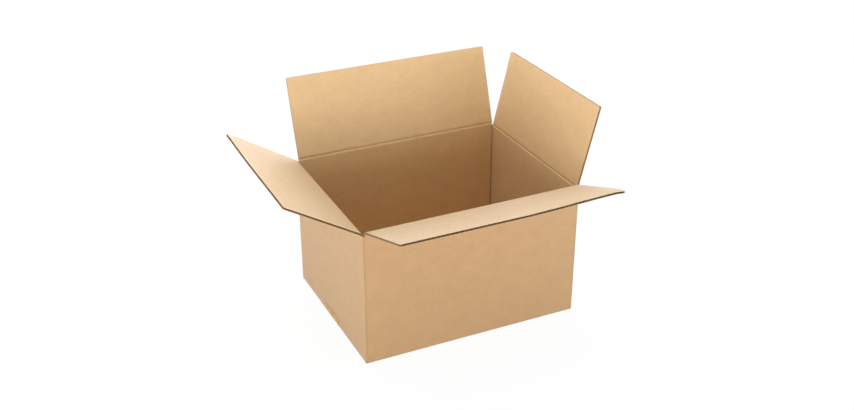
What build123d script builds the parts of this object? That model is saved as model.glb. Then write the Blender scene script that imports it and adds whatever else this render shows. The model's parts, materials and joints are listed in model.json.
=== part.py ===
from build123d import *
from math import atan2, degrees
import os

# Shipping carton of the regular slotted kind, standing open. One sheet of single-wall corrugated board is
# scored, slotted, folded round four corners and glued at one of them. Its bottom flaps are folded in and held
# by a strip of parcel tape. The four top flaps stand open, each turning on its own score line.
# X runs along the long walls, Y from the front to the back, Z up. The origin is the centre of the underside.

# Outside sizes of the carton
length = 320.0
width = 248.0
depth = 194.0  # from the supporting surface to the score line of the end flaps

# The board: two flat liners with a fluted medium between them, flutes upright in the walls
board = 3.0
liner = 0.3
medium = 0.3
flute_pitch = 6.3
flute_crest = 1.0  # flat where the medium is glued to a liner
flute_web = 0.45  # sloping medium between two neighbouring flutes, measured along the edge

# Flaps, as long on all four sides as half the width allows
seam_gap = 14.0  # left between the two long flaps when they are folded in
slot_clearance = 0.5  # between the side of a folded flap and the inside of the wall beside it
layer_gap = 0.3  # left between two flaps that lie on each other

# Score lines: the board is pressed in from the inside and folds about its outer liner
score_gap = 0.3  # half the slit left at a top score line
score_tip = 0.1  # thickness left at the pressed line
fold_proud = 0.1  # how far the fold line stands outside the outer face
crushed = 3.0  # flutes are pressed shut for this length beyond the score groove
slot_relief = 1.2  # the slots between the bottom flaps end this far above the surface

# How far each top flap leans outwards from upright
front_angle = 71.0
back_angle = 18.5
left_angle = 59.0
right_angle = 14.0

glue_land = 0.6  # width over which the rear wall's fold bears on the left wall
edge_setback = 0.5  # raw edge of the left wall, back from the rear face
tip_radius = 1.5  # free corners of the top flaps, softened by handling

# Glue tab, folded from the rear wall on to the inside of the left wall
tab_width = 35.0
tab_taper = 8.0
tab_clearance = 1.0

# Parcel tape along the bottom seam and a little way up both end walls
tape_width = 50.0
tape = 0.12
adhesive = 0.03
tape_tail = 14.0

# Sizes and levels that follow from these
flap_length = (width - seam_gap) / 2
slot = board + slot_clearance  # how far each flap stops short of the carton's outer corner
corner_radius = board - glue_land  # outside of the upright folds
fold_radius = board - liner  # outside of the bottom folds
long_floor = tape + adhesive
end_floor = long_floor + board + layer_gap
end_score = depth
long_score = end_score + board + layer_gap

up = Vector(0, 0, 1)
span_x = length - 2 * slot
span_y = width - 2 * slot


def side(outward, distance):
    """Upright section plane of a wall: its x runs inwards from the outer face, its y is the height."""
    inward = outward * -1
    return Plane(origin=outward * distance, x_dir=inward, z_dir=inward.cross(up))


front, back = Vector(0, -1, 0), Vector(0, 1, 0)
left, right = Vector(-1, 0, 0), Vector(1, 0, 0)
walls = (
    (side(front, width / 2), span_x, long_floor, long_score),
    (side(back, width / 2), span_x, long_floor, long_score),
    (side(left, length / 2), span_y, end_floor, end_score),
    (side(right, length / 2), span_y, end_floor, end_score),
)

# Body of the carton: four walls, four bottom flaps and the glue tab, all of one folded sheet
with BuildPart() as carton_body:
    # Each wall with its bottom flap is one run of board, mitred on the inside up to its top score line. All
    # four stand on the same level, and the end flaps come off theirs just above the long flaps.
    for plane, span, floor, score in walls:
        with BuildSketch(plane):
            with BuildLine():
                Polyline(
                    (0, long_floor),
                    (0, score - score_gap),
                    (score_tip, score - score_gap),
                    (board, score - score_gap - board + score_tip),
                    (board, long_floor),
                    close=True,
                )
            make_face()
            with Locations((0, floor)):
                Rectangle(flap_length, board, align=Align.MIN)
            outer_fold = vertices().sort_by_distance((0, long_floor))[0]
            fillet(outer_fold, radius=fold_radius)
        extrude(amount=span / 2, both=True)

    # Upright folds between the walls, from slot end to slot end
    post_floor = long_floor + slot_relief
    with BuildSketch(Plane.XY.offset(post_floor)):
        Rectangle(length, width)
        folded = vertices().filter_by(lambda v: not (v.X < 0 and v.Y > 0))
        fillet(folded, radius=corner_radius)
        with Locations((-length / 2, width / 2)):
            Rectangle(board, edge_setback, align=(Align.MIN, Align.MAX), mode=Mode.SUBTRACT)
        Rectangle(length - 2 * board, width - 2 * board, mode=Mode.SUBTRACT)
        Rectangle(span_x, width, mode=Mode.SUBTRACT)
        Rectangle(length, span_y, mode=Mode.SUBTRACT)
    extrude(amount=end_score - score_gap - post_floor)

    # At the rear left corner the rear wall curves in behind the raw edge of the left wall
    with BuildSketch(Plane.XY):
        with Locations((-length / 2 + board, width / 2)):
            Rectangle(corner_radius, corner_radius, align=(Align.MIN, Align.MAX))
        with Locations((-length / 2 + board + corner_radius, width / 2 - corner_radius)):
            Circle(corner_radius, mode=Mode.SUBTRACT)
    extrude(amount=long_score, mode=Mode.SUBTRACT)

    # Glue tab, cut back at both ends so that it clears the flaps
    tab_top = end_score - 2 * board - tab_clearance
    tab_bottom = end_floor + board + tab_clearance
    tab_root = width / 2 - board
    with BuildSketch(Plane.YZ.offset(-length / 2 + board)):
        with BuildLine():
            Polyline(
                (tab_root, tab_bottom),
                (tab_root, tab_top),
                (tab_root - tab_width, tab_top - tab_taper),
                (tab_root - tab_width, tab_bottom + tab_taper),
                close=True,
            )
        make_face()
    extrude(amount=board)

carton_body.part.label = "carton_body"


# Section of one flute tunnel, between the liner it opens to and the crest of the medium
core = board - 2 * liner
flute_height = core - medium
flute_rise = core - 2 * medium
flute_base = flute_crest + 2 * flute_height * (flute_pitch / 2 - flute_web - flute_crest) / flute_rise
flute_angle = degrees(atan2(flute_height, (flute_base - flute_crest) / 2))

flaps = (
    ("front_flap", front, width / 2, span_x, long_score, front_angle),
    ("back_flap", back, width / 2, span_x, long_score, back_angle),
    ("left_flap", left, length / 2, span_y, end_score, left_angle),
    ("right_flap", right, length / 2, span_y, end_score, right_angle),
)

# Top flaps: each is drawn on a plane through its own fold line, leaning outwards
top_flaps = []
for name, outward, distance, span, score, lean_angle in flaps:
    along = up.cross(outward)
    leaning = outward.rotate(Axis((0, 0, 0), along), lean_angle)
    fold = Plane(origin=outward * (distance + fold_proud) + up * score, x_dir=along, z_dir=leaning)
    with BuildPart() as flap:
        # Section across the flap: pressed thin at the score line, full thickness beyond it
        with BuildSketch(Plane(origin=fold.origin, x_dir=fold.y_dir, z_dir=fold.x_dir)):
            with BuildLine():
                Polyline(
                    (score_gap, -fold_proud),
                    (flap_length, -fold_proud),
                    (flap_length, -fold_proud - board),
                    (score_gap + board - score_tip, -fold_proud - board),
                    (score_gap, -fold_proud - score_tip),
                    close=True,
                )
            make_face()
        extrude(amount=span / 2, both=True)
        free_corners = edges().filter_by(Axis(fold.origin, fold.z_dir))
        far_corners = free_corners.sort_by(Axis(fold.origin, fold.y_dir))[-2:]
        fillet(far_corners, radius=tip_radius)
        # Flutes, open at the free edge and running down to where the score has pressed them shut
        flute_depth = flap_length - score_gap - board - crushed
        flutes = int((span - flute_base) / flute_pitch)
        mid_board = fold_proud + board / 2
        lift = medium / 2
        edge = Plane(origin=fold.origin + fold.y_dir * flap_length, x_dir=fold.x_dir, z_dir=fold.y_dir)
        with BuildSketch(edge):
            with Locations((0, mid_board - lift)):
                with GridLocations(flute_pitch, 0, flutes, 1):
                    Trapezoid(flute_base, flute_height, flute_angle)
            with Locations((0, mid_board + lift)):
                with GridLocations(flute_pitch, 0, flutes - 1, 1):
                    Trapezoid(flute_base, flute_height, flute_angle, rotation=180)
        extrude(amount=-flute_depth, mode=Mode.SUBTRACT)
    flap.part.label = name
    top_flaps.append(flap.part)


# Parcel tape: flat under the bottom flaps, round the lower edge of both end walls and a little way up them
with BuildPart() as bottom_tape:
    seat = adhesive
    end_x = length / 2
    fold_centre = Vector(end_x - fold_radius, long_floor + fold_radius)
    with BuildSketch(Plane.XZ):
        with BuildLine():
            Line((0, long_floor - seat), (fold_centre.X, long_floor - seat))
            bend = CenterArc(fold_centre, fold_radius + seat, -90, 90)
            Line(bend @ 1, (end_x + seat, tape_tail))
            offset(amount=tape, side=Side.RIGHT, closed=True)
        make_face()
        mirror(about=Plane.YZ)
    extrude(amount=tape_width / 2, both=True)

bottom_tape.part.label = "bottom_tape"

os.makedirs("parts", exist_ok=True)
for part in (carton_body.part, *top_flaps, bottom_tape.part):
    export_step(part, f"parts/{part.label}.step")
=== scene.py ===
import json
from math import cos, exp, pi, radians, sin

import bmesh
import bpy
from mathutils import Matrix, Vector


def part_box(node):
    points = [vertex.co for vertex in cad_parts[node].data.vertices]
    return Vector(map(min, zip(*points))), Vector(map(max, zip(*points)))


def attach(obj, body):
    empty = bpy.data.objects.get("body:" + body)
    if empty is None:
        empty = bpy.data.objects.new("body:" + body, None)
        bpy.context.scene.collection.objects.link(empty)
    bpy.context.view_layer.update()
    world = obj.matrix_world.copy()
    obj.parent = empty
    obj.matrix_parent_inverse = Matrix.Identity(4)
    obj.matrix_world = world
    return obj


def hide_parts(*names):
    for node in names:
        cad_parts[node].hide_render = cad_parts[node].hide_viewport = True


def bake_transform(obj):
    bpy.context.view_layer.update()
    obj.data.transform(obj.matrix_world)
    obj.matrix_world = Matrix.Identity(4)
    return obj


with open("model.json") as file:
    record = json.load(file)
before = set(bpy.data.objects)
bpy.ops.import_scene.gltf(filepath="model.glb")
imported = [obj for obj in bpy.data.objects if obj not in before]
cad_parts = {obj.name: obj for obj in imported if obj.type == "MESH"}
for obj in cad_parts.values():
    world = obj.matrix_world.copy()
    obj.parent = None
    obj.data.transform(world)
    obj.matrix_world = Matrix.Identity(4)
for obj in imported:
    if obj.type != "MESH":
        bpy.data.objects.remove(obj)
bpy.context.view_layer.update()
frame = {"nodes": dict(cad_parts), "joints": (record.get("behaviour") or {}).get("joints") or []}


# Table: a wide pale sheet that the carton stands on. The lens sees it as white, with a faint shadow under
# the carton, while the light that it throws back on the carton is that of plain grey paper.

table_size = 6.0
paper_grey = 0.6
shadow_grey = 0.07
white_glow = 0.95


def node_material(name):
    """A new material, its node tree and its shader."""
    material = bpy.data.materials.new(name)
    material.use_nodes = True
    return material, material.node_tree, material.node_tree.nodes["Principled BSDF"]


def pick_nothing():
    if bpy.context.mode != "OBJECT":
        bpy.ops.object.mode_set(mode="OBJECT")
    bpy.ops.object.select_all(action="DESELECT")


def seen_as_white(tree):
    """1 for rays of the lens, or of a mirror or a glass, and 0 for the light that falls on the carton."""
    rays = tree.nodes.new("ShaderNodeLightPath")
    sight = rays.outputs["Is Camera Ray"]
    for other in ("Is Glossy Ray", "Is Transmission Ray"):
        either = tree.nodes.new("ShaderNodeMath")
        either.operation = "MAXIMUM"
        tree.links.new(sight, either.inputs[0])
        tree.links.new(rays.outputs[other], either.inputs[1])
        sight = either.outputs[0]
    return sight


pick_nothing()
bpy.ops.mesh.primitive_plane_add(size=table_size, location=(0, 0, 0))
table = bpy.context.active_object
table.name = "table_top"
paper, tree, shader = node_material("white_paper")
shader.inputs["Base Color"].default_value = (paper_grey, paper_grey, paper_grey, 1)
shader.inputs["Roughness"].default_value = 0.9
shadow = tree.nodes.new("ShaderNodeBsdfDiffuse")
shadow.inputs["Color"].default_value = (shadow_grey, shadow_grey, shadow_grey, 1)
glow = tree.nodes.new("ShaderNodeEmission")
glow.inputs["Strength"].default_value = white_glow
shaded_white = tree.nodes.new("ShaderNodeAddShader")
tree.links.new(shadow.outputs[0], shaded_white.inputs[0])
tree.links.new(glow.outputs[0], shaded_white.inputs[1])
seen = tree.nodes.new("ShaderNodeMixShader")
tree.links.new(seen_as_white(tree), seen.inputs[0])
tree.links.new(shader.outputs[0], seen.inputs[1])
tree.links.new(shaded_white.outputs[0], seen.inputs[2])
tree.links.new(seen.outputs[0], tree.nodes["Material Output"].inputs["Surface"])
table.data.materials.append(paper)


# Studio air: light walls stand round the table, with dimmer air above them and a soft ceiling over it. Four
# soft lamps help: in front, low on the left, behind, and overhead. The lens sees white all round.

wall_glow, middle_glow, ceiling_glow = 3.9, 0.3, 0.4
wall_top = (0.08, 0.3)  # heights between which the walls fade, from 0 level with the table to 1 overhead
ceiling_rim = (0.45, 0.85)

air = bpy.data.worlds.new("studio_air")
bpy.context.scene.world = air
air.use_nodes = True
sky = air.node_tree
bearing = sky.nodes.new("ShaderNodeTexCoord")
height = sky.nodes.new("ShaderNodeSeparateXYZ")
sky.links.new(bearing.outputs["Generated"], height.inputs["Vector"])


def fading_glow(heights, low_glow, high_glow):
    """Light of the air that goes from one strength to the other between these two heights."""
    fade = sky.nodes.new("ShaderNodeMapRange")
    fade.interpolation_type = "SMOOTHSTEP"
    fade.inputs["From Min"].default_value = heights[0]
    fade.inputs["From Max"].default_value = heights[1]
    fade.inputs["To Min"].default_value = low_glow
    fade.inputs["To Max"].default_value = high_glow
    sky.links.new(height.outputs["Z"], fade.inputs["Value"])
    return fade.outputs["Result"]


walls_and_ceiling = sky.nodes.new("ShaderNodeMath")
sky.links.new(fading_glow(wall_top, wall_glow, middle_glow), walls_and_ceiling.inputs[0])
sky.links.new(fading_glow(ceiling_rim, 0, ceiling_glow - middle_glow), walls_and_ceiling.inputs[1])
air_light = sky.nodes["Background"]
air_light.inputs["Color"].default_value = (1, 1, 1, 1)
sky.links.new(walls_and_ceiling.outputs[0], air_light.inputs["Strength"])
air_white = sky.nodes.new("ShaderNodeBackground")
air_white.inputs["Color"].default_value = (1, 1, 1, 1)
air_white.inputs["Strength"].default_value = 1.0
seen = sky.nodes.new("ShaderNodeMixShader")
sky.links.new(seen_as_white(sky), seen.inputs[0])
sky.links.new(air_light.outputs[0], seen.inputs[1])
sky.links.new(air_white.outputs[0], seen.inputs[2])
sky.links.new(seen.outputs[0], sky.nodes["World Output"].inputs["Surface"])


def soft_lamp(name, place, aim, size, power):
    """A square lamp of this size in metres and power in watts, turned to what it is aimed at."""
    lamp = bpy.data.objects.new(name, bpy.data.lights.new(name, "AREA"))
    bpy.context.scene.collection.objects.link(lamp)
    lamp.data.shape = "SQUARE"
    lamp.data.size = size
    lamp.data.energy = power
    lamp.location = place
    lamp.rotation_euler = (Vector(aim) - Vector(place)).to_track_quat("-Z", "Y").to_euler()


soft_lamp("front_lamp", place=(0.75, -1.5, 0.35), aim=(0, 0, 0.15), size=0.9, power=4)
soft_lamp("left_lamp", place=(-1.1, -0.3, 0.15), aim=(0, 0, 0.1), size=0.36, power=1.3)
soft_lamp("rear_lamp", place=(0.3, 1.5, 0.9), aim=(0, 0, 0.2), size=1.2, power=16)
soft_lamp("top_lamp", place=(-0.2, 0.1, 2.2), aim=(0, 0, 0.2), size=1.2, power=14)


# Camera: in front of the carton, to the left of its middle and looking down into it. It has a plain lens
# with no shift, and its place and turn are those that fit the corners in the photograph.

image_width = 854
focal_px = 1134.9
camera_azimuth = radians(-25.31)
camera_elevation = radians(27.267)
camera_roll = radians(-0.0524)
camera_distance = 1.67484
aim_right, aim_up = -0.01058, 0.13029

turn = Matrix.Rotation(camera_azimuth, 3, "Z") @ Matrix.Rotation(pi / 2 - camera_elevation, 3, "X")
turn = turn @ Matrix.Rotation(camera_roll, 3, "Z")
camera = bpy.data.objects.new("camera", bpy.data.cameras.new("camera"))
bpy.context.scene.collection.objects.link(camera)
camera.data.sensor_width = 36
camera.data.lens = focal_px * camera.data.sensor_width / image_width
camera.location = turn @ Vector((aim_right, aim_up, camera_distance))
camera.rotation_euler = turn.to_euler()
bpy.context.scene.camera = camera


# Corrugated board: a fluted medium glued between two flat kraft liners. The colour is that of unbleached
# pulp, with long fibres lying across the flutes and a faint stripe over each flute.

board = 0.003
liner = 0.0003
medium = 0.0003
washboard = 0.00006  # how far a liner sinks between two flutes that carry it
flute_pitch = 0.0063

carton_low, carton_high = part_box("carton_body")
carton_length = carton_high.x - carton_low.x
carton_width = carton_high.y - carton_low.y

fold_light_reach = 0.005  # half the width of the band of painted highlight and shade along an upright fold
fold_highlight, fold_shade = 0.11, 0.13  # paler by this in the painted highlight, darker in the painted shade
pulp_drift = (0.01, -0.015, -0.035)  # how far red, green and blue go either way in clouds of redder pulp


def painted_fold_light(tree):
    """Painted highlight on an upright fold's end wall side, and painted shade on its long wall side."""
    nodes, links = tree.nodes, tree.links

    def step(operation, first, second):
        node = nodes.new("ShaderNodeMath")
        node.operation = operation
        for slot, value in enumerate((first, second)):
            if isinstance(value, (int, float)):
                node.inputs[slot].default_value = value
            else:
                links.new(value, node.inputs[slot])
        return node.outputs[0]

    spot = nodes.new("ShaderNodeTexCoord")
    place = nodes.new("ShaderNodeSeparateXYZ")
    links.new(spot.outputs["Object"], place.inputs["Vector"])
    from_end = step("SUBTRACT", carton_length / 2, step("ABSOLUTE", place.outputs["X"], 0))
    from_side = step("SUBTRACT", carton_width / 2, step("ABSOLUTE", place.outputs["Y"], 0))
    across = step("SUBTRACT", from_end, from_side)
    on_wall = step("LESS_THAN", step("MINIMUM", from_end, from_side), fold_light_reach / 2)
    band = nodes.new("ShaderNodeMapRange")
    band.inputs["From Min"].default_value = -fold_light_reach
    band.inputs["From Max"].default_value = fold_light_reach
    links.new(across, band.inputs["Value"])
    ramp = nodes.new("ShaderNodeValToRGB")
    links.new(band.outputs["Result"], ramp.inputs["Fac"])
    # From the end wall at 0, over the fold at 0.5, to the long wall at 1: painted highlight, then painted
    # shade
    stops = ramp.color_ramp.elements
    stops.remove(stops[1])
    stops[0].position = 0.12
    for at, grey in ((0.28, 1 + fold_highlight), (0.46, 1 + fold_highlight), (0.54, 1 - fold_shade), (0.72, 1 - fold_shade), (0.88, 1)):
        stops.new(at).color = (grey, grey, grey, 1)
    stops[0].color = (1, 1, 1, 1)
    fold_shading = nodes.new("ShaderNodeMix")
    fold_shading.inputs["A"].default_value = 1
    links.new(on_wall, fold_shading.inputs["Factor"])
    links.new(ramp.outputs["Color"], fold_shading.inputs["B"])
    return fold_shading.outputs["Result"]


def liner_material(name, pulp, nap, stripe, start, painted_fold=False):
    """Kraft liner: fibres across the flutes, cloudy pulp, and the stripe of each flute showing through."""
    material, tree, shader = node_material(name)
    nodes, links = tree.nodes, tree.links
    sheet = nodes.new("ShaderNodeUVMap")
    sheet.uv_map = "sheet"

    def noise(along, up, detail):
        """Noise with this many grains to the metre along the sheet and up it."""
        place = nodes.new("ShaderNodeMapping")
        place.inputs["Location"].default_value = (start, start, start)
        place.inputs["Scale"].default_value = (along, up, 1)
        links.new(sheet.outputs["UV"], place.inputs["Vector"])
        grain = nodes.new("ShaderNodeTexNoise")
        grain.inputs["Scale"].default_value = 1
        grain.inputs["Detail"].default_value = detail
        grain.inputs["Roughness"].default_value = 0.55
        links.new(place.outputs["Vector"], grain.inputs["Vector"])
        return grain.outputs["Fac"]

    def spread(value, low, high):
        """A noise, which lies mostly between 0.3 and 0.7, taken to low and high."""
        stretch = nodes.new("ShaderNodeMapRange")
        stretch.inputs["From Min"].default_value = 0.3
        stretch.inputs["From Max"].default_value = 0.7
        stretch.inputs["To Min"].default_value = low
        stretch.inputs["To Max"].default_value = high
        stretch.clamp = False
        links.new(value, stretch.inputs["Value"])
        return stretch.outputs["Result"]

    def times(first, second):
        product = nodes.new("ShaderNodeMath")
        product.operation = "MULTIPLY"
        links.new(first, product.inputs[0])
        links.new(second, product.inputs[1])
        return product.outputs[0]

    # Shade: fibres, clouds of pulp, slow drift over the sheet, and the flutes where they show through
    fibres = noise(120, 900, 4)
    clouds = spread(noise(45, 60, 5), 0.965, 1.035)
    drift = spread(noise(6, 6, 2), 0.985, 1.015)
    flutes = nodes.new("ShaderNodeTexWave")
    flutes.inputs["Scale"].default_value = pi / 10 / flute_pitch  # one wave to each flute
    flutes.inputs["Distortion"].default_value = 0
    links.new(sheet.outputs["UV"], flutes.inputs["Vector"])
    showing = times(flutes.outputs["Fac"], noise(9, 4, 2))
    shade = times(times(spread(fibres, 0.95, 1.05), clouds), drift)
    shade = times(shade, spread(showing, 1 + stripe, 1 - stripe))
    # The walls get a painted highlight and painted shade along their upright folds
    if painted_fold:
        shade = times(shade, painted_fold_light(tree))
    # Colour: the pulp is a little redder in places
    pulp_colour = nodes.new("ShaderNodeMix")
    pulp_colour.data_type = "RGBA"
    links.new(noise(14, 18, 3), pulp_colour.inputs["Factor"])
    for socket, way in (("A", 1), ("B", -1)):
        tone = [part * (1 + way * swing) for part, swing in zip(pulp, pulp_drift)]
        pulp_colour.inputs[socket].default_value = (*tone, 1)
    grey = nodes.new("ShaderNodeCombineColor")
    for channel in ("Red", "Green", "Blue"):
        links.new(shade, grey.inputs[channel])
    tint = nodes.new("ShaderNodeMix")
    tint.data_type = "RGBA"
    tint.blend_type = "MULTIPLY"
    tint.inputs["Factor"].default_value = 1
    links.new(pulp_colour.outputs["Result"], tint.inputs["A"])
    links.new(grey.outputs["Color"], tint.inputs["B"])
    links.new(tint.outputs["Result"], shader.inputs["Base Color"])
    # Relief: the flutes under the liner, and its fibres
    ribs = nodes.new("ShaderNodeBump")
    ribs.inputs["Strength"].default_value = 0.5
    ribs.inputs["Distance"].default_value = stripe / 700
    links.new(flutes.outputs["Fac"], ribs.inputs["Height"])
    relief = nodes.new("ShaderNodeBump")
    relief.inputs["Strength"].default_value = 0.35
    relief.inputs["Distance"].default_value = 0.00025
    links.new(fibres, relief.inputs["Height"])
    links.new(ribs.outputs["Normal"], relief.inputs["Normal"])
    links.new(relief.outputs["Normal"], shader.inputs["Normal"])
    shader.inputs["Roughness"].default_value = 0.55
    shader.inputs["Sheen Weight"].default_value = nap
    shader.inputs["Sheen Roughness"].default_value = 0.4
    return material


# The inner liner is a paler kraft, and part of its extra green and blue is painted sheen for the pale veil
# on the lit flaps
outer_pulp, inner_pulp_and_sheen, medium_pulp = (0.57, 0.352, 0.168), (0.68, 0.46, 0.228), (0.3, 0.18, 0.09)
outer_kraft = liner_material("outer_kraft", outer_pulp, nap=0.2, stripe=0.003, start=0.0)
# The walls' liner, with a painted highlight and painted shade along its upright folds
wall_kraft = liner_material("wall_kraft", outer_pulp, nap=0.2, stripe=0.003, start=0.0, painted_fold=True)
inner_kraft = liner_material("inner_kraft", inner_pulp_and_sheen, nap=0.4, stripe=0.008, start=5.3)
fluting_kraft = liner_material("fluting_kraft", medium_pulp, nap=0.1, stripe=0.0, start=9.1)


# Top flaps: each is the board of its wall carried on past a score line. There the board was pressed in from
# the inside, which shuts its flutes, so that it folds. The free edge and both sides are cut bare.

folds = {joint["child"]: joint for joint in frame["joints"]}
long_score = folds["front_lid"]["pos_m"][2]
end_score = folds["left_lid"]["pos_m"][2]
fold_proud = -folds["front_lid"]["pos_m"][1] - carton_width / 2
long_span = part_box("front_flap")[1].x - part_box("front_flap")[0].x
end_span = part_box("left_flap")[1].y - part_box("left_flap")[0].y
flap_length = 0.117
flap_corner = 0.0015
seam_drop = 0.006  # the flap pieces begin this far below their score line

score_press = 0.5  # share of the board's thickness that the score takes away
score_width = 0.0013  # its press fades over about this much on each side
crease_half = 0.0032  # the rows lie close together this far on each side of the score
bend_half = 0.0022  # and the board bends this far on each side of it
crease_rows, plain_rows = 14, 9
liner_strips, medium_strips = 4, 8  # across one flute
smooth_below = radians(35)  # faces that meet at less than this shade as one
hair = 1e-6  # places nearer to each other than this count as one

wall_step = (carton_length + carton_width) / 2  # on the flat sheet, from the middle of one wall to the next
curls = {  # for each corner bent by handling: its side, how far it lifts and how much board follows it
    "front_flap": ((1, 0.0035, 0.15), (1, -0.0009, 0.013)),
    "right_flap": ((1, 0.0006, 0.04),),
    "back_flap": ((1, 0.0006, 0.04),),
    "left_flap": ((-1, 0.0012, 0.1),),
}
grip_across, grip_along = 0.002, 0.004  # how much of a corner was held when it bent


def pick(piece, test):
    """In edit mode, picks the points that pass the test, with the edges and faces between them."""
    bpy.ops.mesh.select_all(action="DESELECT")
    shell = bmesh.from_edit_mesh(piece.data)
    for point in shell.verts:
        point.select_set(test(point))
    shell.select_flush(True)
    bmesh.update_edit_mesh(piece.data)


def thickness_left(rise):
    """Share of the board's thickness left at this height above the score line."""
    return 1 - score_press * exp(-((rise / score_width) ** 2))


def add_sheet(piece, columns, depth, wave, lowest, tallest):
    """First row of one sheet of the board, one flute wide, with its wave across the width."""
    upright = (pi / 2, 0, 0)
    bpy.ops.mesh.primitive_grid_add(x_subdivisions=columns, y_subdivisions=1, size=1, rotation=upright)
    bpy.ops.transform.resize(value=(flute_pitch, 1, tallest), center_override=(0, 0, 0))
    bpy.ops.transform.translate(value=(0, depth, lowest + tallest / 2))
    for column in range(columns // 2 + 1):
        place = flute_pitch * column / columns
        pick(piece, lambda point: abs(abs(point.co.x) - place) < hair and abs(point.co.y - depth) < hair)
        bpy.ops.transform.translate(value=(0, wave * cos(2 * pi * column / columns), 0))


def one_flute(piece, rises):
    """One flute's width of the three sheets, pulled up row by row and pressed thin at the score."""
    first = rises[1] - rises[0]
    wave = (board - 2 * liner - medium) / 2
    sunk = washboard / 2
    add_sheet(piece, liner_strips, liner / 2 + sunk, -sunk, rises[0], first)
    add_sheet(piece, medium_strips, board / 2, -wave, rises[0], first)
    add_sheet(piece, liner_strips, board - liner / 2 - sunk, -sunk, rises[0], first)
    pick(piece, lambda point: point.co.z > rises[1] - hair)
    for lower, upper in zip(rises[1:], rises[2:]):
        bpy.ops.mesh.extrude_region_move(TRANSFORM_OT_translate={"value": (0, 0, upper - lower)})
        ratio = thickness_left(upper) / thickness_left(lower)
        bpy.ops.transform.resize(value=(1, ratio, 1), center_override=(0, 0, 0))
    bpy.ops.mesh.select_all(action="SELECT")
    bpy.ops.mesh.normals_make_consistent(inside=False)


def cut_edges(span, free_end):
    """Cuts the board to its width, and rounds the two corners of its free edge as handling does."""
    for way in (1, -1):
        bpy.ops.mesh.select_all(action="SELECT")
        bpy.ops.mesh.bisect(plane_co=(way * span / 2, 0, 0), plane_no=(way, 0, 0), clear_outer=True)
    end_way = 1 if free_end > 0 else -1
    for way in (1, -1):
        for tilt in (22.5, 45, 67.5):
            across, along = way * sin(radians(tilt)), end_way * cos(radians(tilt))
            corner = (way * (span / 2 - flap_corner), 0, free_end - end_way * flap_corner)
            touch = (corner[0] + across * flap_corner, 0, corner[2] + along * flap_corner)
            bpy.ops.mesh.select_all(action="SELECT")
            bpy.ops.mesh.bisect(plane_co=touch, plane_no=(across, 0, along), clear_outer=True)


def flat_board(name, span, rises, quarter, score):
    """A flat board on edge along X, its outer liner at Y 0, with rows at these heights from its score.

    The quarter is that of its wall: 0 at the front, 1 on the right, 2 at the back and 3 on the left.
    """
    pick_nothing()
    bpy.ops.mesh.primitive_grid_add(x_subdivisions=1, y_subdivisions=1, size=1)
    piece = bpy.context.active_object
    piece.name = name
    piece.data.name = name
    bpy.ops.object.mode_set(mode="EDIT")
    bpy.ops.mesh.select_mode(type="VERT")
    bpy.ops.mesh.delete(type="VERT")
    one_flute(piece, rises)
    bpy.ops.object.mode_set(mode="OBJECT")
    # The flute is repeated over the board's width, then cut to it
    flutes = int(span / flute_pitch) + 2
    repeat = piece.modifiers.new("flutes", "ARRAY")
    repeat.count = flutes
    repeat.use_relative_offset = False
    repeat.use_constant_offset = True
    repeat.constant_offset_displace = (flute_pitch, 0, 0)
    repeat.use_merge_vertices = True
    repeat.merge_threshold = 10 * hair
    bpy.ops.object.modifier_apply(modifier=repeat.name)
    bpy.ops.object.mode_set(mode="EDIT")
    bpy.ops.mesh.select_all(action="SELECT")
    bpy.ops.transform.translate(value=(-flute_pitch * (flutes - 1) / 2, 0, 0))
    cut_edges(span, rises[-1] if rises[-1] > 0 else rises[0])
    bpy.ops.object.mode_set(mode="OBJECT")
    # Liners and medium take their own materials, and the map that lies flat on the uncut sheet
    for face_material in (outer_kraft, inner_kraft, fluting_kraft):
        piece.data.materials.append(face_material)
    flat = piece.data.uv_layers.new(name="sheet")
    points = piece.data.vertices
    for face in piece.data.polygons:
        level = sum(points[corner].co.y / thickness_left(points[corner].co.z) for corner in face.vertices)
        level /= len(face.vertices) * board  # from 0 at the outer liner to 1 at the inner one
        face.material_index = 0 if level < 0.1 else 1 if level > 0.9 else 2
        for loop in face.loop_indices:
            at = points[piece.data.loops[loop].vertex_index].co
            flat.data[loop].uv = (quarter * wall_step + at.x, score + at.z)
    return piece


def set_in_place(piece, quarter, place):
    """Turns a board from the front to its own side, moves it there and gives its paper its thickness."""
    bpy.ops.object.mode_set(mode="EDIT")
    bpy.ops.mesh.select_all(action="SELECT")
    bpy.ops.transform.rotate(value=-quarter * pi / 2, orient_axis="Z", center_override=(0, 0, 0))
    bpy.ops.transform.translate(value=place)
    bpy.ops.object.mode_set(mode="OBJECT")
    paper = piece.modifiers.new("paper", "SOLIDIFY")
    paper.thickness = liner
    paper.offset = 0
    bpy.ops.object.modifier_apply(modifier=paper.name)
    bpy.ops.object.shade_smooth_by_angle(angle=smooth_below)


def outward_of(quarter):
    return Matrix.Rotation(quarter * pi / 2, 3, "Z") @ Vector((0, -1, 0))


# Heights of a flap's rows: close together in the crease, then evenly up to the free edge
crease_end, plain_start = seam_drop * 0.75, seam_drop * 1.2
plain_length = flap_length - plain_start
rises = [-seam_drop, -crease_end]
rises += [crease_half * (2 * row / crease_rows - 1) for row in range(crease_rows + 1)]
rises += [crease_end, plain_start]
rises += [plain_start + plain_length * row / plain_rows for row in range(1, plain_rows + 1)]

# From this far below its score line to as far above it, the board goes over from the wall to the flap
turning_half = 0.004

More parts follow.
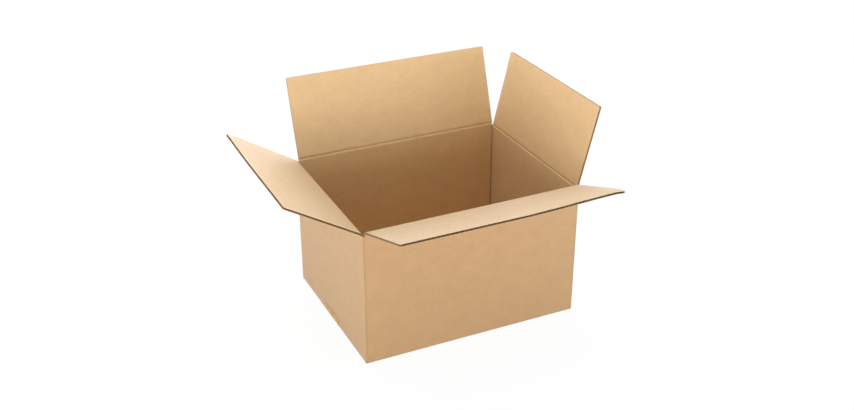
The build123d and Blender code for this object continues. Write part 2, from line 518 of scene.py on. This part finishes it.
for name, body, quarter, span in (
    ("front_flap", "front_lid", 0, long_span),
    ("right_flap", "right_lid", 1, end_span),
    ("back_flap", "back_lid", 2, long_span),
    ("left_flap", "left_lid", 3, end_span),
):
    lean = radians(-folds[body]["range_deg"][0] - 90)
    outward = outward_of(quarter)
    fold_line = Vector(folds[body]["pos_m"])
    flap = flat_board(name + "_board", span, rises, quarter, fold_line.z)
    heights = [point.co.z for point in flap.data.vertices]
    bpy.ops.object.mode_set(mode="EDIT")
    # Handling has warped the flap a little at its free corners
    held_x, held_z = span / 2 - grip_across, flap_length - grip_along
    for side, lift, reach in curls[name]:
        pick(flap, lambda point: side * point.co.x > held_x and point.co.z > held_z)
        bpy.ops.transform.translate(value=(0, lift, 0), use_proportional_edit=True, proportional_size=reach)
    # It is bent outwards at the score, a little at each row of the crease
    bend = [rise for rise in rises if abs(rise) < bend_half + hair]
    hinge = (0, -fold_proud, 0)
    for rise in bend:
        pick(flap, lambda point: heights[point.index] > rise - hair)
        bpy.ops.transform.rotate(value=-lean / len(bend), orient_axis="X", center_override=hinge)
    bpy.ops.object.mode_set(mode="OBJECT")
    set_in_place(flap, quarter, fold_line - outward * fold_proud)
    middle = (Vector((0, 0, 1)) * cos(lean / 2) + outward * sin(lean / 2)) * turning_half
    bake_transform(flap)
    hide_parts(name)


# Walls and bottom: the rest of the same sheet, folded round four corners with its glue tab stuck inside the
# left wall, and its bottom flaps folded in, the two short ones over the two long ones.

half_length, half_width = carton_length / 2, carton_width / 2
inside_x, inside_y = half_length - board, half_width - board
fold_reach = 0.01  # the bottom flaps are solid board as far as this from the outer face of their wall
corner_line = 0.0013  # width of the line pressed down the inside of an upright fold
corner_depth = 0.002  # and its depth
tape_below = 0.00015
layer_gap = 0.0003
flap_below = tape_below + board + layer_gap  # level of the underside of the upper bottom flaps
edge_setback = 0.0005  # from the rear face to the raw edge of the left wall
side_room = 0.0002  # beside the bottom boards
past_board = board * 1.2  # a cut this deep goes right through the board
over_board = board * 1.1  # just past a board that lies on another one
slack = 0.0001  # rounding that the tests of a face's place allow for
clear = 0.02  # how far a cut goes on into the open
flat_within = radians(1)  # faces that meet at less than this are one flat face

walls = bpy.data.objects.new("walls_and_bottom", frame["nodes"]["carton_body"].data.copy())
bpy.context.scene.collection.objects.link(walls)
pick_nothing()
walls.select_set(True)
bpy.context.view_layer.objects.active = walls
walls.data.materials.clear()
bpy.ops.object.mode_set(mode="EDIT")
bpy.ops.mesh.select_mode(type="VERT")
bpy.ops.mesh.select_all(action="SELECT")
bpy.ops.mesh.remove_doubles(threshold=hair)
bpy.ops.mesh.dissolve_limited(angle_limit=flat_within)
bpy.ops.object.mode_set(mode="OBJECT")
bpy.ops.mesh.customdata_custom_splitnormals_clear()


def cut_away(piece, low, high, turn=0):
    """Cuts the block between two corners out of the piece, turned about the upright through its middle."""
    pick_nothing()
    bpy.ops.mesh.primitive_cube_add(size=1)
    cutter = bpy.context.active_object
    middle = (Vector(low) + Vector(high)) / 2
    bpy.ops.object.mode_set(mode="EDIT")
    bpy.ops.transform.resize(value=Vector(high) - Vector(low), center_override=(0, 0, 0))
    bpy.ops.transform.rotate(value=-turn, orient_axis="Z", center_override=(0, 0, 0))
    bpy.ops.transform.translate(value=middle)
    bpy.ops.object.mode_set(mode="OBJECT")
    pick_nothing()
    bpy.context.view_layer.objects.active = piece
    piece.select_set(True)
    trim = piece.modifiers.new("trim", "BOOLEAN")
    trim.operation = "DIFFERENCE"
    trim.solver = "EXACT"
    trim.object = cutter
    bpy.ops.object.modifier_apply(modifier=trim.name)
    bpy.data.objects.remove(cutter)


# Above the seams the flap boards take over, and on the bottom the fluted boards made further on
for way in (-1, 1):
    near, far = sorted((way * (half_width - past_board), way * (half_width + board)))
    low = (-long_span / 2, near, long_score - seam_drop)
    cut_away(walls, low, (long_span / 2, far, long_score + clear))
    near, far = sorted((way * (half_length - past_board), way * (half_length + board)))
    low = (near, -end_span / 2, end_score - seam_drop)
    cut_away(walls, low, (far, end_span / 2, end_score + clear))
inner_x, inner_y = half_length - fold_reach, half_width - fold_reach
side_x, side_y = long_span / 2 + side_room, end_span / 2 + side_room
between = flap_below - layer_gap / 2
cut_away(walls, (-side_x, -inner_y, -clear), (side_x, inner_y, between))
cut_away(walls, (-inner_x, -side_y, between), (inner_x, side_y, flap_below + past_board))

# The line pressed down the inside of each upright fold, but not that of the glue tab
for x_way, y_way in ((-1, -1), (1, -1), (1, 1)):
    middle = Vector((x_way * inside_x, y_way * inside_y, 0))
    reach = Vector((corner_depth, corner_line / 2, 0))
    low = middle - reach + Vector((0, 0, flap_below + board))
    high = middle + reach + Vector((0, 0, end_score))
    cut_away(walls, low, high, radians(45) * x_way * y_way)

# Each face takes the liner that it shows or the colour of a cut, and the map that lies flat on the sheet
for face_material in (wall_kraft, inner_kraft, fluting_kraft):
    walls.data.materials.append(face_material)
flat = walls.data.uv_layers.new(name="sheet")
points = walls.data.vertices
over_bottom = flap_below + over_board
for face in walls.data.polygons:
    centre, normal = face.center, face.normal
    level = abs(normal.z) > 0.8
    in_corner = abs(centre.x) > long_span / 2 and abs(centre.y) > end_span / 2
    inside = abs(centre.x) < inside_x - 2 * slack and abs(centre.y) < inside_y - 2 * slack
    on_tab = -inside_x < centre.x < -inside_x + over_board and centre.z > over_bottom
    raw_edge = centre.x < -inside_x and centre.y > half_width - edge_setback - slack and normal.y > 0.9
    end_side = abs(normal.x) > abs(normal.y)
    if level:
        end_side = centre.z > flap_below - slack or abs(centre.x) > long_span / 2
        cut = in_corner or centre.z > over_bottom
        side = 0 if normal.z < 0 else 1
    else:
        cut = raw_edge or (inside and centre.z < flap_below + board) or (on_tab and abs(normal.x) < 0.5)
        side = 0 if (centre.x * normal.x if end_side else centre.y * normal.y) > 0 else 1
    face.material_index = 2 if cut else side
    quarter = (1 if centre.x > 0 else 3) if end_side else (0 if centre.y < 0 else 2)
    turned = Matrix.Rotation(-quarter * pi / 2, 3, "Z")
    out_y = half_length if end_side else half_width
    for loop in face.loop_indices:
        at = turned @ points[walls.data.loops[loop].vertex_index].co
        flat.data[loop].uv = (quarter * wall_step + at.x, -(at.y + out_y) if level else at.z)
bpy.ops.object.shade_smooth_by_angle(angle=smooth_below)

# Bottom flaps beyond their folds: plain boards with open flutes at the free edge, laid flat
bottom_boards = []
for quarter, span, floor, distance in (
    (0, long_span, tape_below, half_width),
    (1, end_span, flap_below, half_length),
    (2, long_span, tape_below, half_width),
    (3, end_span, flap_below, half_length),
):
    lower = flat_board("bottom_board", span, [-flap_length, -fold_reach], quarter, floor)
    bpy.ops.object.mode_set(mode="EDIT")
    bpy.ops.mesh.select_all(action="SELECT")
    bpy.ops.transform.rotate(value=-pi / 2, orient_axis="X", center_override=(0, 0, 0))
    bpy.ops.object.mode_set(mode="OBJECT")
    set_in_place(lower, quarter, outward_of(quarter) * distance + Vector((0, 0, floor)))
    bottom_boards.append(lower)
pick_nothing()
for lower in bottom_boards:
    lower.select_set(True)
walls.select_set(True)
bpy.context.view_layer.objects.active = walls
bpy.ops.object.join()
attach(walls, "carton")
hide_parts("carton_body")


# Parcel tape: one strip of brown film over the seam between the long bottom flaps, pressed round the lower
# edge of both end walls. It was torn off on a toothed blade a little way up each of them.

tape_low, tape_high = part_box("bottom_tape")
tape_teeth = 28
tooth_depth = 0.0009
half_tooth = (tape_high.y - tape_low.y) / (2 * tape_teeth)
film_thin, film_thick = (0.6, 0.36, 0.05, 1), (0.46, 0.25, 0.02, 1)

film, tree, shader = node_material("parcel_film")
spot = tree.nodes.new("ShaderNodeTexCoord")


def film_noise(grains, detail):
    """Noise with this many grains to the metre along the strip, across it and up its ends."""
    stretch = tree.nodes.new("ShaderNodeMapping")
    stretch.inputs["Scale"].default_value = grains
    tree.links.new(spot.outputs["Object"], stretch.inputs["Vector"])
    noise = tree.nodes.new("ShaderNodeTexNoise")
    noise.inputs["Scale"].default_value = 1
    noise.inputs["Detail"].default_value = detail
    tree.links.new(stretch.outputs["Vector"], noise.inputs["Vector"])
    return noise.outputs["Fac"]


# Where the glue has not wetted the board the film looks paler
wetted = tree.nodes.new("ShaderNodeMapRange")
wetted.inputs["From Min"].default_value = 0.4
wetted.inputs["From Max"].default_value = 0.6
tree.links.new(film_noise((90, 140, 220), 4), wetted.inputs["Value"])
film_colour = tree.nodes.new("ShaderNodeMix")
film_colour.data_type = "RGBA"
film_colour.inputs["A"].default_value = film_thin
film_colour.inputs["B"].default_value = film_thick
tree.links.new(wetted.outputs["Result"], film_colour.inputs["Factor"])
tree.links.new(film_colour.outputs["Result"], shader.inputs["Base Color"])
wrinkles = tree.nodes.new("ShaderNodeBump")
wrinkles.inputs["Strength"].default_value = 0.5
wrinkles.inputs["Distance"].default_value = 0.0004
tree.links.new(film_noise((35, 260, 120), 3), wrinkles.inputs["Height"])
tree.links.new(wrinkles.outputs["Normal"], shader.inputs["Normal"])
shader.inputs["Roughness"].default_value = 0.35
shader.inputs["Specular IOR Level"].default_value = 0.3

strip = bpy.data.objects.new("tape_strip", frame["nodes"]["bottom_tape"].data.copy())
bpy.context.scene.collection.objects.link(strip)
pick_nothing()
strip.select_set(True)
bpy.context.view_layer.objects.active = strip
strip.data.materials.clear()
strip.data.materials.append(film)
bpy.ops.object.mode_set(mode="EDIT")
bpy.ops.mesh.select_all(action="SELECT")
bpy.ops.mesh.remove_doubles(threshold=hair)
bpy.ops.mesh.dissolve_limited(angle_limit=flat_within)
# Both torn ends: the upper edge is divided, and every second pair of its points goes down
at_top = tape_high.z - 10 * hair
bpy.ops.mesh.select_all(action="DESELECT")
bpy.ops.mesh.select_mode(type="EDGE")
shell = bmesh.from_edit_mesh(strip.data)
for edge in shell.edges:
    first, second = (point.co for point in edge.verts)
    edge.select_set(min(first.z, second.z) > at_top and abs(first.y - second.y) > half_tooth)
bmesh.update_edit_mesh(strip.data)
bpy.ops.mesh.subdivide(number_cuts=2 * tape_teeth - 1)
bpy.ops.mesh.select_mode(type="VERT")
pick(strip, lambda point: point.co.z > at_top and round((point.co.y - tape_low.y) / half_tooth) % 2)
bpy.ops.transform.translate(value=(0, 0, -tooth_depth))
bpy.ops.object.mode_set(mode="OBJECT")
bpy.ops.mesh.customdata_custom_splitnormals_clear()
bpy.ops.object.shade_smooth_by_angle(angle=smooth_below)
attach(strip, "carton")
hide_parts("bottom_tape")


bpy.context.scene.view_settings.view_transform = "Standard"
